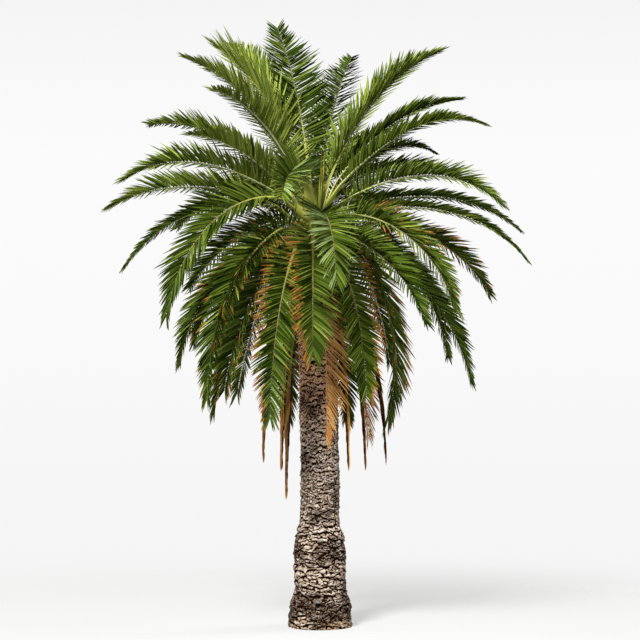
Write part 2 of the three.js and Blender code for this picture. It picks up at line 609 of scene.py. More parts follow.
def mesh_points(node: str) -> tuple[Array, Array]:
    """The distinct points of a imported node, and its edges.

    Args:
        node: the node's name.

    Returns:
        The points, and the edges as pairs of point numbers.
    """
    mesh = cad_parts[node].data
    places = np.empty(len(mesh.vertices) * 3)
    mesh.vertices.foreach_get("co", places)
    edges = np.empty(len(mesh.edges) * 2, dtype=np.int32)
    mesh.edges.foreach_get("vertices", edges)
    points, index = np.unique(places.reshape(-1, 3).round(5), axis=0, return_inverse=True)
    return points, index.ravel()[edges.reshape(-1, 2)]


# ---------------- trunk


@dataclass
class Column:
    """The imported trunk's outline: its leaning axis and its radius all round, ring by ring."""

    sides: int = 40
    heights: Array = field(init=False)
    centres: Array = field(init=False)
    radii: Array = field(init=False)

    def __post_init__(self) -> None:
        """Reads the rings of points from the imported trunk."""
        points, _ = mesh_points("trunk")
        levels = points[:, 2].round(3)
        rings = [points[levels == level] for level in np.unique(levels)]
        corners = max(len(found) for found in rings) // 2 * 2
        centres, radii = [], []
        for found in rings:
            outer = found[np.argsort(-np.hypot(*(found[:, :2] - found[:, :2].mean(0)).T))][:corners]
            centre = (outer.min(0) + outer.max(0)) / 2
            spread = outer[:, :2] - centre[:2]
            spread = spread[np.argsort(np.arctan2(spread[:, 1], spread[:, 0]))]
            angles = np.arctan2(spread[:, 1], spread[:, 0])
            centres.append(centre)
            radii.append(np.interp(ring(self.sides), angles, np.hypot(*spread.T), period=2 * math.pi))
        self.centres = np.array(centres)
        self.heights = self.centres[:, 2]
        self.radii = np.array(radii)

    def axis(self, height: Array | float) -> Array:
        """The axis' X and Y at heights."""
        return np.stack([np.interp(height, self.heights, self.centres[:, i]) for i in (0, 1)], axis=-1)

    def radius(self, height: float, turn: Array) -> Array:
        """The radius at one height, for angles from -pi to pi."""
        row = np.array([np.interp(height, self.heights, side) for side in self.radii.T])
        return np.interp(turn, ring(self.sides), row)


@dataclass
class ScarField:
    """Leaf scars in a spiral round a column: where each lies and how it differs from its neighbours.

    Attributes:
        steps: rise from one scar to the next, low down and high up.
        flatness: below 1 for scars that are broader than tall.
        jitter: how far scars stray in height and in angle.
        seed: start of the random draws.
        bend: heights between which the rise changes.
        margin: how far the field reaches past the trunk's ends.
        window: how far above and below a ring its scars may lie.
    """

    steps: tuple[float, float]
    flatness: float
    jitter: tuple[float, float]
    seed: int
    bend: tuple[float, float] = (1.3, 2.3)
    margin: float = 0.3
    window: float = 0.22
    heights: Array = field(init=False)
    turns: Array = field(init=False)
    tones: Array = field(init=False)
    lifts: Array = field(init=False)

    def __post_init__(self) -> None:
        """Places the scars one golden angle apart."""
        rng = np.random.default_rng(self.seed)
        levels = np.linspace(-self.margin, TRUNK_TOP + self.margin, 600)
        rises = blend(*self.steps, smooth(*self.bend, levels))
        numbers = np.concatenate([[0], np.cumsum(np.diff(levels) / rises[1:])])
        count = int(numbers[-1])
        self.heights = np.interp(np.arange(count), numbers, levels) + rng.normal(0, self.jitter[0], count)
        turned = np.arange(count) * GOLDEN_ANGLE + rng.normal(0, self.jitter[1], count)
        self.turns = (turned + math.pi) % (2 * math.pi) - math.pi
        self.tones = rng.random(count)
        self.lifts = rng.normal(0, 1, count)

    def at(self, height: Array, turn: Array, radius: Array) -> tuple[Array, Array, Array, Array]:
        """The scars' pattern along one level ring.

        Args:
            height: the height of each of its points, which may waver.
            turn: the angle of each of its points.
            radius: the radius at each point.

        Returns:
            For each point, how deep in a crevice it lies, how far down its scar, its scar's tone and lift.
        """
        near = np.abs(self.heights - float(np.mean(height))) < self.window
        rises = self.heights[near] - height[:, None]
        swings = (self.turns[near] - turn[:, None] + math.pi) % (2 * math.pi) - math.pi
        gaps = np.hypot(swings * radius[:, None] * self.flatness, rises)
        order = np.argpartition(gaps, 1, axis=1)[:, :2]
        pair = np.take_along_axis(gaps, order, axis=1)
        nearest = np.where(pair[:, 0] <= pair[:, 1], order[:, 0], order[:, 1])
        pair.sort(axis=1)
        crevice = 1 - np.clip((pair[:, 1] - pair[:, 0]) / (0.5 * pair.sum(axis=1) + 1e-6), 0, 1)
        down = np.take_along_axis(rises, nearest[:, None], axis=1)[:, 0]
        return crevice, down, self.tones[near][nearest], self.lifts[near][nearest]


def soften(grid: Array, reach: int) -> Array:
    """A grid averaged over its neighbours; its columns run round a closed ring.

    Args:
        grid: the values, with the first column again at the end.
        reach: over how many rows and columns to each side it is averaged.

    Returns:
        The averaged values, in the same shape.
    """
    steps = range(-reach, reach + 1)
    round_ring = sum(np.roll(grid[:, :-1], step, axis=1) for step in steps) / len(steps)
    padded = np.pad(round_ring, ((reach, reach), (0, 0)), mode="edge")
    soft = sum(padded[reach + step : reach + step + len(grid)] for step in steps) / len(steps)
    return np.hstack([soft, soft[:, :1]])


@dataclass
class Trunk:
    """The trunk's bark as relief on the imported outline: scars low down, torn plates higher up.

    Attributes:
        column: the outline.
        scars: the leaf scars.
        shards: the small chips that the bark breaks into.
        sides: faces round the trunk.
        depth: from the bottom of a crevice to the highest bark.
        proud: how far bark may stand out of the outline, and the share of that at the ground.
        plate: height of a torn plate.
        lip: height from a scar's middle to its lip.
        change: heights between which scars give way to plates.
        belts: height and strength of each sooty belt.
        belt_reach: how far a belt reaches up and down.
        layers: stretch, octaves and shift of the noise for swells, drift, flakes, cracks and patches.
        bands: foot, top and rings of each piece of bark.
    """

    column: Column
    scars: ScarField
    shards: ScarField
    sides: int = 288
    depth: float = 0.03
    proud: tuple[float, float] = (0.013, 0.4)
    plate: float = 0.088
    lip: float = 0.065
    change: tuple[float, float] = (1.5, 2.3)
    belts: tuple[tuple[float, float], ...] = ((1.2, 1.0), (0.28, 1.5))
    belt_reach: float = 0.2
    layers: tuple[tuple[Triple, int, float], ...] = (
        ((1.1, 1.1, 3.2), 4, 0.0),
        ((2.4, 2.4, 5.0), 3, 11.0),
        ((3.4, 3.4, 22.0), 4, 5.0),
        ((1.7, 1.7, 11.0), 3, 23.0),
        ((1.2, 1.2, 2.4), 3, 31.0),
    )
    bands: tuple[tuple[float, float, int], ...] = ((0.0, 2.4, 290), (2.4, TRUNK_TOP, 290))

    def _ring(self, height: float, turn: Array) -> Array:
        """One ring of bark.

        Args:
            height: its height.
            turn: the angles of its points.

        Returns:
            Four rows of values: the outline's radius, the relief, the soot and the chips' tone.
        """
        radius = self.column.radius(height, turn)
        spots = np.stack([np.cos(turn), np.sin(turn), np.full_like(turn, height)], axis=-1)
        swells, drift, flakes, cracks, patches = (fractal(spots, *layer) for layer in self.layers)
        coarse = 1 - smooth(*self.change, height)
        wavy = height + 0.03 * swells + 0.03 * drift
        border, down, _, lift = self.scars.at(wavy, turn + 0.1 * drift, radius)
        wavy = height + 0.02 * flakes + 0.02 * drift
        split, _, tone, chip = self.shards.at(wavy, turn + 0.12 * swells, radius)
        kept = smooth(-0.6, 0.2, patches + 0.5 * drift)
        bulge = np.clip(down / self.lip, -1, 1)
        scar = (1 - smooth(0.5, 1.0, border) * kept) * (0.45 + 0.38 * bulge + 0.16 * lift)
        part = (height / self.plate + 1.2 * drift + 0.6 * swells + 0.3 * flakes) % 1
        torn = (1 - part) ** 0.7 - 0.7 * smooth(0.86, 1.0, part)
        plates = 0.75 * torn * smooth(-0.7, 0.3, cracks)
        crack = smooth(0.1, 0.0, np.abs(cracks)) * smooth(-0.3, 0.3, drift)
        chips = 0.2 * chip - 0.5 * smooth(0.55, 1.0, split) * smooth(-0.5, 0.3, cracks)
        chips = blend(0.55, 0.8, coarse) * chips
        relief = self.depth * (blend(plates, scar, coarse) + chips - 0.55 - 0.5 * crack)
        relief += 0.011 * swells + 0.012 * flakes
        belts = sum(much * np.exp(-(((height - at) / self.belt_reach) ** 2)) for at, much in self.belts)
        soot = smooth(0.05, 0.5, patches * 0.8 + 0.6 * belts + 0.35 * flakes)
        return np.array([radius, relief, soot, tone])

    def _band(self, levels: Array, turn: Array) -> tuple[Array, Traits]:
        """A band of bark.

        Args:
            levels: the heights of its rings.
            turn: the angles of each ring's points.

        Returns:
            Its grid of points, and the shader's numbers for them.
        """
        rings = np.array([self._ring(height, turn) for height in levels])
        radius, relief, soot, tone = rings.swapaxes(0, 1)
        hollow = soften(relief, 5) - relief
        fine = soften(relief, 2) - relief
        most, at_ground = self.proud
        out = radius + np.minimum(relief, most) * blend(at_ground, 1.0, smooth(0.0, 0.03, levels))[:, None]
        centre = self.column.axis(levels)
        aside = centre[:, None] + np.stack([out * np.cos(turn), out * np.sin(turn)], axis=-1)
        points = np.dstack([aside, np.broadcast_to(levels[:, None], out.shape)])
        # Painted shade in the relief's hollows and fine recesses.
        crevice = smooth(0.001, 0.009, hollow) + 0.7 * smooth(0.0008, 0.0035, fine)
        # scar: a painted highlight on raised bark, plus each chip's own random tone.
        scar = 0.65 * smooth(-0.002, 0.007, -hollow) + 0.6 * smooth(0.35, 0.85, tone)
        height = np.broadcast_to(levels[:, None] / TRUNK_TOP, out.shape)
        return points, dict(zip(BARK_TRAITS, (np.clip(crevice, 0, 1), np.clip(scar, 0, 1), soot, height)))

    def dress(self) -> None:
        """Builds the bands of bark and closes the ends."""
        finish = BARK.material()
        turn = ring(self.sides)
        for number, (low, high, rows) in enumerate(self.bands, start=1):
            sheaf = Sheaf()
            levels = np.linspace(low, high, rows)
            points, traits = self._band(levels, turn)
            sheaf.add_grid(points, flat_grid((turn / math.pi + 1) / 2, np.linspace(0.02, 1, rows)), **traits)
            for end, downward in ((0, True), (-1, False)):
                if levels[end] in (0.0, TRUNK_TOP):
                    rim = {name: values[end] for name, values in traits.items()}
                    self._close(sheaf, points[end], rim, downward)
            report(sheaf.build(f"trunk_bark_{number}", [finish]), ["trunk"])

    @staticmethod
    def _close(sheaf: Sheaf, rim: Array, traits: Traits, downward: bool) -> None:
        """Closes an end with a flat fan of faces.

        Args:
            sheaf: where the faces go.
            rim: the points of the end's ring.
            traits: the shader's numbers for them.
            downward: whether the end faces down.
        """
        count = len(rim)
        steps = np.arange(count - 1)
        fan = np.stack([steps, steps + 1, np.full(count - 1, count)], axis=-1)
        held = {name: np.append(values, values.mean()) for name, values in traits.items()}
        flat = np.stack([np.linspace(0, 1, count + 1), np.full(count + 1, 0.005)], axis=-1)
        sheaf.add(np.vstack([rim, rim.mean(0)]), fan[:, ::-1] if downward else fan, 0, flat, **held)


# ---------------- fronds


class Tier(Enum):
    """The tiers of fronds, from the youngest to the oldest."""

    SPEAR = "spear"
    UPPER = "upper"
    MIDDLE = "middle"
    LOWER = "lower"
    HANGING = "hanging"
    DEAD = "dead"
    FOLDED = "folded"

    @property
    def nodes(self) -> list[str]:
        """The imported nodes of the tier's fronds."""
        return sorted(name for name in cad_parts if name.startswith(f"{self.value}_frond"))

    @property
    def dry(self) -> bool:
        """Whether its fronds are dead."""
        return self in (Tier.DEAD, Tier.FOLDED)

    @property
    def slot(self) -> str:
        """The name of the record's slot for its fronds: dead_frond when dry, else green_frond."""
        return "dead_frond" if self.dry else "green_frond"


@dataclass(frozen=True)
class Habit:
    """How leaflets grow on a tier's fronds. Angles are in degrees and open from the rib's direction.

    Attributes:
        longest: length of the longest leaflet.
        width: full width of a leaflet.
        spacing: from one leaflet to the next on the same side.
        foot_angle: opening of the innermost leaflets.
        middle_angle: opening half-way along.
        tip_angle: opening of the outermost ones.
        closing: share of the rib from which the leaflets swing forward.
        taper: share of the length that the outermost leaflets have lost.
        ranks: how far the leaflets rise from the rib's plane, in turn.
        scatter: how far all these angles stray.
        droop: how far the leaflets hang at their tips.
        curl: how far they arch forward.
        twist: how far they turn about themselves.
        tone: mean tone, in steps from the freshest green or from the palest brown.
        browned: share of the leaflets with dry tips.
        painted_shade_steps: painted shade on the second side: how much darker it is, in steps of the tones.
        age: how far the rib has browned.
    """

    longest: float = 0.47
    width: float = 0.038
    spacing: float = 0.019
    foot_angle: float = 80
    middle_angle: float = 52
    tip_angle: float = 24
    closing: float = 0.45
    taper: float = 0.55
    ranks: tuple[float, ...] = (54, 38, -16, 50, 42, -26)
    scatter: float = 3
    droop: float = 0.03
    curl: float = 8
    twist: float = 12
    tone: float = 2.0
    browned: float = 0.0
    painted_shade_steps: float = 0.0
    age: float = 0.0


HABITS = {
    Tier.SPEAR: Habit(
        longest=0.6, width=0.042, spacing=0.022, foot_angle=84, middle_angle=63, tip_angle=38, closing=0.66,
        taper=0.52, ranks=(22, 4, 14), tone=1.9,
    ),
    Tier.UPPER: Habit(longest=0.62, width=0.042, spacing=0.0165, tip_angle=38, taper=0.6, tone=1.5),
    Tier.MIDDLE: Habit(tone=1.9),
    Tier.LOWER: Habit(spacing=0.018, foot_angle=70, middle_angle=38, tone=2.2, browned=0.1, age=0.3),
    Tier.HANGING: Habit(
        width=0.036, spacing=0.021, closing=0.66, taper=0.42, ranks=(34, 20, 30, 24), droop=0.05, tone=2.3,
        browned=0.3, age=0.8,
    ),
    Tier.DEAD: Habit(
        longest=0.52, width=0.026, spacing=0.03, middle_angle=50, ranks=(34, 20, 28), scatter=4, droop=0.05,
        twist=24, tone=0.4,
    ),
    Tier.FOLDED: Habit(
        longest=0.44, width=0.05, foot_angle=4, middle_angle=3, tip_angle=2, ranks=(50, 10, -40),
        scatter=1.6, curl=1, twist=5, tone=0.6, painted_shade_steps=2.2,
    ),
}


@dataclass(frozen=True)
class Character:
    """What sets one frond apart from its tier.

    Attributes:
        tone: how much darker its green is, in steps of the tones.
        browned: how much more of it has browned.
        reach: factor on the length of its leaflets.
        sweep: factor on how far its leaflets open.
        rise: factor on how far its leaflets rise from the rib's plane.
        roll: how far it lies turned about its rib, in degrees.
        edge: which side has browned: 1 for the first only, -1 for the second only.
        cant: how far the second side's leaflets stand on edge, in degrees.
        painted_highlight_share: share of one side's leaflets that get a painted highlight, a paler green:
            above 0 on the first side, below 0 on the second.
        shed: share of the second side's leaflets that have dropped.
        bare: share of its rib that bears no leaflets.
    """

    tone: float = 0.0
    browned: float = 0.0
    reach: float = 1.0
    sweep: float = 1.0
    rise: float = 1.0
    roll: float = 0.0
    edge: float = 0.0
    cant: float = 0.0
    painted_highlight_share: float = 0.0
    shed: float = 0.0
    bare: float = 0.12


CHARACTERS = {
    "spear_frond_01": Character(tone=0.6),
    "spear_frond_02": Character(tone=0.9, reach=0.76, cant=52, shed=0.5),
    "upper_frond_01": Character(tone=-1.0, reach=1.2, sweep=0.85, rise=0.7, bare=0.36),
    "upper_frond_02": Character(tone=-1.0, reach=0.85, rise=0.6, bare=0.28),
    "upper_frond_03": Character(tone=-1.2, reach=0.85, rise=0.6, bare=0.18),
    "upper_frond_04": Character(tone=-0.5, reach=0.86, sweep=0.75, bare=0.18),
    "upper_frond_05": Character(tone=0.5, reach=0.6, sweep=0.66, bare=0.2),
    "upper_frond_06": Character(tone=1.0, reach=0.62, sweep=0.64, rise=0.4, bare=0.2),
    "upper_frond_07": Character(tone=0.3, reach=0.54, sweep=0.66, bare=0.22),
    "upper_frond_08": Character(tone=0.2, reach=0.95, roll=-20, painted_highlight_share=0.3, bare=0.3),
    "upper_frond_09": Character(tone=-0.1, reach=0.7, rise=0.8),
    "upper_frond_10": Character(tone=-0.8, reach=0.75, rise=0.7),
    "upper_frond_11": Character(reach=0.85, sweep=0.85, bare=0.36),
    "middle_frond_01": Character(tone=1.0, reach=0.68, sweep=0.8, bare=0.2),
    "middle_frond_02": Character(tone=0.3, reach=0.8, sweep=0.9, rise=0.7, bare=0.2),
    "middle_frond_03": Character(tone=-0.2, reach=0.95, sweep=0.85, bare=0.18),
    "middle_frond_04": Character(tone=0.6, reach=0.64, sweep=0.66),
    "middle_frond_05": Character(tone=0.6, reach=0.62, sweep=0.66),
    "middle_frond_06": Character(tone=-0.5),
    "middle_frond_07": Character(tone=-0.5),
    "middle_frond_08": Character(tone=0.5, reach=0.66, sweep=0.62),
    "middle_frond_09": Character(tone=0.3, reach=1.32, rise=0.6, painted_highlight_share=-0.42, bare=0.17),
    "middle_frond_10": Character(tone=0.5, reach=1.15, sweep=0.62, rise=0.5, roll=-45, bare=0.2),
    "lower_frond_01": Character(browned=0.3),
    "lower_frond_02": Character(browned=0.4),
    "lower_frond_03": Character(tone=0.4, browned=0.05),
    "lower_frond_04": Character(tone=0.1, browned=0.1),
    "lower_frond_06": Character(tone=0.5, reach=1.1, sweep=1.15, bare=0.03),
    "lower_frond_07": Character(browned=0.25, reach=1.1, bare=0.05),
    "lower_frond_08": Character(browned=0.3),
    "hanging_frond_01": Character(tone=-0.3, browned=0.3, reach=1.25, sweep=0.8, rise=0.7, edge=0.3),
    "hanging_frond_02": Character(browned=0.1, edge=0.9, roll=26),
    "hanging_frond_03": Character(browned=0.15, reach=1.12, edge=-0.9),
    "hanging_frond_04": Character(tone=0.2, browned=0.1, edge=-0.8, roll=-19),
    "hanging_frond_05": Character(browned=0.25),
    "dead_frond_01": Character(tone=-0.2, reach=1.05, roll=-26, shed=0.97),
    "dead_frond_02": Character(tone=0.9),
    "dead_frond_03": Character(tone=0.9),
}


class Rib:
    """A frond's curve, read from its packed blade, with its directions along, across and up.

    A blade has STATIONS sections of four CORNERS each between its ends, at steps that are EVEN within a
    share of their length. The petiole sinks by SINK at its foot and by nothing from SUNK_SHARE onwards.
    """

    SAMPLES = 240
    STATIONS = 13
    CORNERS = 4
    EVEN = 0.04
    SINK = 0.2
    SUNK_SHARE = 0.17

    def __init__(self, node: str, roll: float, twist: float, sunk: bool) -> None:
        """Reads the curve and gives it its turn.

        Args:
            node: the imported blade.
            roll: how far the frond is turned about its rib, in radians.
            twist: how much further it is turned by the tip.
            sunk: whether the petiole's foot grows from the heart lower than the blade does.
        """
        self.node = node
        line = self._through(self._stations())
        if sunk:
            line[:, 2] -= self.SINK * (1 - smooth(0, self.SUNK_SHARE, np.linspace(0, 1, self.SAMPLES)))
        steps = np.linalg.norm(np.diff(line, axis=0), axis=1)
        self.length = float(steps.sum())
        self.shares = np.concatenate([[0], np.cumsum(steps)]) / self.length
        self.line = line
        self.along = unit(np.gradient(line, axis=0))
        outward = line[-1] - line[0]
        level = unit(np.array([-outward[1], outward[0], 0.0]))
        above = np.cross(self.along, level)
        turn = (roll * smooth(0.05, 0.3, self.shares) + twist * self.shares**1.5)[:, None]
        self.across = level * np.cos(turn) + above * np.sin(turn)
        self.above = np.cross(self.along, self.across)

    def _stations(self) -> Array:
        """Reads the blade's middle at each cross-section.

        Returns:
            The middles, from the frond's spring to its tip.
        """
        points, edges = mesh_points(self.node)
        rings = max((self._rings(edges, tip) for tip in range(len(points))), key=len)
        centres = [points[ring].mean(0) for ring in rings[:1]]
        for ring in rings[1:]:
            corners = points[ring]
            far = np.linalg.norm(corners[:, None] - corners[None], axis=-1)
            wings = set(np.unravel_index(int(np.argmax(far)), far.shape))
            centres.append(corners[[i for i in range(self.CORNERS) if i not in wings]].mean(0))
        while not self._even(centres):
            centres.pop()
        while len(centres) < self.STATIONS + 1:
            centres.append(self._before(centres))
        return np.array(centres[::-1])

    def _rings(self, edges: Array, tip: int) -> list[list[int]]:
        """The cross-sections that follow a point along the edges, as long as they have all corners.

        Args:
            edges: the blade's edges.
            tip: the point to start from.

        Returns:
            The point numbers of each cross-section, after the start.
        """
        seen, rings = {tip}, [[tip]]
        while True:
            touched = set(edges[np.isin(edges, rings[-1]).any(axis=1)].ravel().tolist()) - seen
            if len(touched) != self.CORNERS:
                return rings
            seen |= touched
            rings.append(sorted(touched))

    def _even(self, centres: list[Array]) -> bool:
        """Whether the last step is as long as the steps before it, so that its section is whole."""
        steps = np.linalg.norm(np.diff(np.array(centres), axis=0), axis=1)
        return abs(steps[-1] / np.median(steps) - 1) < self.EVEN

    @staticmethod
    def _before(centres: list[Array]) -> Array:
        """The next middle inwards, where the blade enters the heart."""
        last, previous = centres[-1] - centres[-2], centres[-2] - centres[-3]
        return centres[-1] + unit(last + 0.9 * (last - previous)) * np.linalg.norm(last)

    def _through(self, stations: Array) -> Array:
        """A smooth line through stations.

        Args:
            stations: the points to pass.

        Returns:
            Points along the line.
        """
        slopes = np.gradient(stations, axis=0)
        place = np.linspace(0, len(stations) - 1, self.SAMPLES)
        step = np.minimum(place.astype(int), len(stations) - 2)
        share = (place - step)[:, None]
        first, second = stations[step], stations[step + 1]
        ease, late, early = share**2 * (3 - 2 * share), share**2 * (share - 1), share * (1 - share) ** 2
        return blend(first, second, ease) + early * slopes[step] + late * slopes[step + 1]

    def at(self, shares: Array) -> tuple[Array, Array, Array, Array]:
        """The curve at shares of its length.

        Args:
            shares: from 0 at the foot to 1 at the tip.

        Returns:
            Places, and the directions along, across and up.
        """
        place, along, across, above = (
            np.stack([np.interp(shares, self.shares, axis) for axis in held.T], axis=-1)
            for held in (self.line, self.along, self.across, self.above)
        )
        return place, unit(along), unit(across), unit(above)


@dataclass(frozen=True)
class RibShape:
    """The section of petiole and rachis, by its distance from the frond's spring.

    Attributes:
        places: the distances.
        widths: full width at each of them.
        depths: depth at each of them.
        hollows: how far the upper side bulges, or sinks in below 0, as a share of the depth.
        sides: faces round the rib.
        rings: rings of points along it.
        belly: how far the lower side bulges, as a share of the depth.
        crowding: above 1 for rings that crowd towards the foot.
        tip: the section's size at the tip; it narrows over the last fifth.
        longest: length over which the colour runs from foot to tip.
    """

    places: tuple[float, ...] = (0.0, 0.3, 0.55, 0.85, 1.3, 2.2, 3.6)
    widths: tuple[float, ...] = (0.25, 0.19, 0.115, 0.068, 0.042, 0.026, 0.012)
    depths: tuple[float, ...] = (0.07, 0.064, 0.05, 0.038, 0.028, 0.018, 0.009)
    hollows: tuple[float, ...] = (-0.35, -0.3, -0.1, 0.2, 0.4, 0.45, 0.5)
    sides: int = 10
    rings: int = 34
    belly: float = 0.62
    crowding: float = 1.35
    tip: float = 0.35
    longest: float = 3.4

    def half_width(self, distance: Array) -> Array:
        """Half of the width at distances along the rib."""
        return np.interp(distance, self.places, self.widths) / 2

    def add(
        self, sheaf: Sheaf, rib: Rib, end: float, strip: tuple[float, float], slim: float, age: float
    ) -> None:
        """Adds one rib as a tube.

        Args:
            sheaf: where its faces go.
            rib: the curve that it follows.
            end: the share of the length at which it ends.
            strip: where its stretch of the bake map starts and ends.
            slim: factor on the section.
            age: how far it has browned.
        """
        shares = end * np.linspace(0, 1, self.rings) ** self.crowding
        place, _, across, above = rib.at(shares)
        distance = shares * rib.length
        fade = np.interp(shares / end, (0, 0.8, 1), (1, 1, self.tip))
        width = (self.half_width(distance) * fade * slim)[:, None]
        depth = (np.interp(distance, self.places, self.depths) * fade * slim)[:, None]
        hollow = np.interp(distance, self.places, self.hollows)[:, None]
        turn = np.linspace(0, 2 * math.pi, self.sides + 1)
        aside = np.cos(turn) * width
        rise = np.where(np.sin(turn) > 0, hollow * np.sin(turn), self.belly * np.sin(turn)) * depth
        points = place[:, None] + aside[..., None] * across[:, None] + rise[..., None] * above[:, None]
        sheaf.add_grid(
            points,
            flat_grid(np.linspace(*strip, self.sides + 1), shares)[..., ::-1],
            share=np.minimum(distance / self.longest, 1)[:, None],
            below=smooth(0.2, -0.4, np.sin(turn)),
            age=age,
        )


@dataclass(frozen=True)
class LeafletShape:
    """A folded leaflet: its outline, its fold, and the faces that repeat for each one."""

    widths: tuple[float, ...] = (0.7, 1.0, 1.0, 0.92, 0.76, 0.48)
    folds: tuple[float, ...] = (46, 38, 34, 31, 28, 24)

    @property
    def segments(self) -> int:
        """The steps along the leaflet."""
        return len(self.widths)

    def faces(self) -> tuple[Array, Array]:
        """The faces of one leaflet. Each half has its own points on the fold, so that the fold stays crisp.

        Returns:
            The faces, on points that run along the fold and then the edge, half by half; and the segment
            that each face lies in.
        """
        half, steps, count = [], [], self.segments
        for i in range(count - 1):
            edge = count + 1 + i
            half += [(i, edge, edge + 1), (i, edge + 1, i + 1)]
            steps += [i, i]
        half.append((count - 1, 2 * count, count))
        steps.append(count - 1)
        first = np.array(half)
        second = first[:, ::-1] + 2 * count + 1
        return np.vstack([first, second]), np.array(steps * 2)

    def points(self, line: Array, wide: Array, normal: Array, width: Array) -> Array:
        """The points of many leaflets.

        Args:
            line: each leaflet's middle, a point for each station and one for the tip.
            wide: the direction across the leaflet at each station.
            normal: the direction that its fold opens to.
            width: each leaflet's full width.

        Returns:
            The points, in the order that faces() counts them.
        """
        half = np.array(self.widths) / 2 * width[:, None]
        fold = np.radians(self.folds)
        aside = wide * (half * np.cos(fold))[..., None]
        rise = normal * (half * np.sin(fold))[..., None]
        stations = line[:, :-1]
        return np.concatenate([line, stations + aside + rise, line, stations - aside + rise], axis=1)

    def add(self, sheaf: Sheaf, points: Array, tones: Array) -> None:
        """Adds leaflets to a sheaf.

        Args:
            sheaf: where their faces go.
            points: the points of each leaflet.
            tones: the tone of each segment of each leaflet, or one for each leaflet.
        """
        faces, steps = self.faces()
        triangles = faces[None] + (np.arange(len(points)) * points.shape[1])[:, None, None]
        dealt = np.broadcast_to(tones, (len(points), self.segments))[:, steps]
        sheaf.add(points.reshape(-1, 3), triangles.reshape(-1, 3), dealt.ravel())


RIB_SHAPE = RibShape()
LEAFLET = LeafletShape()


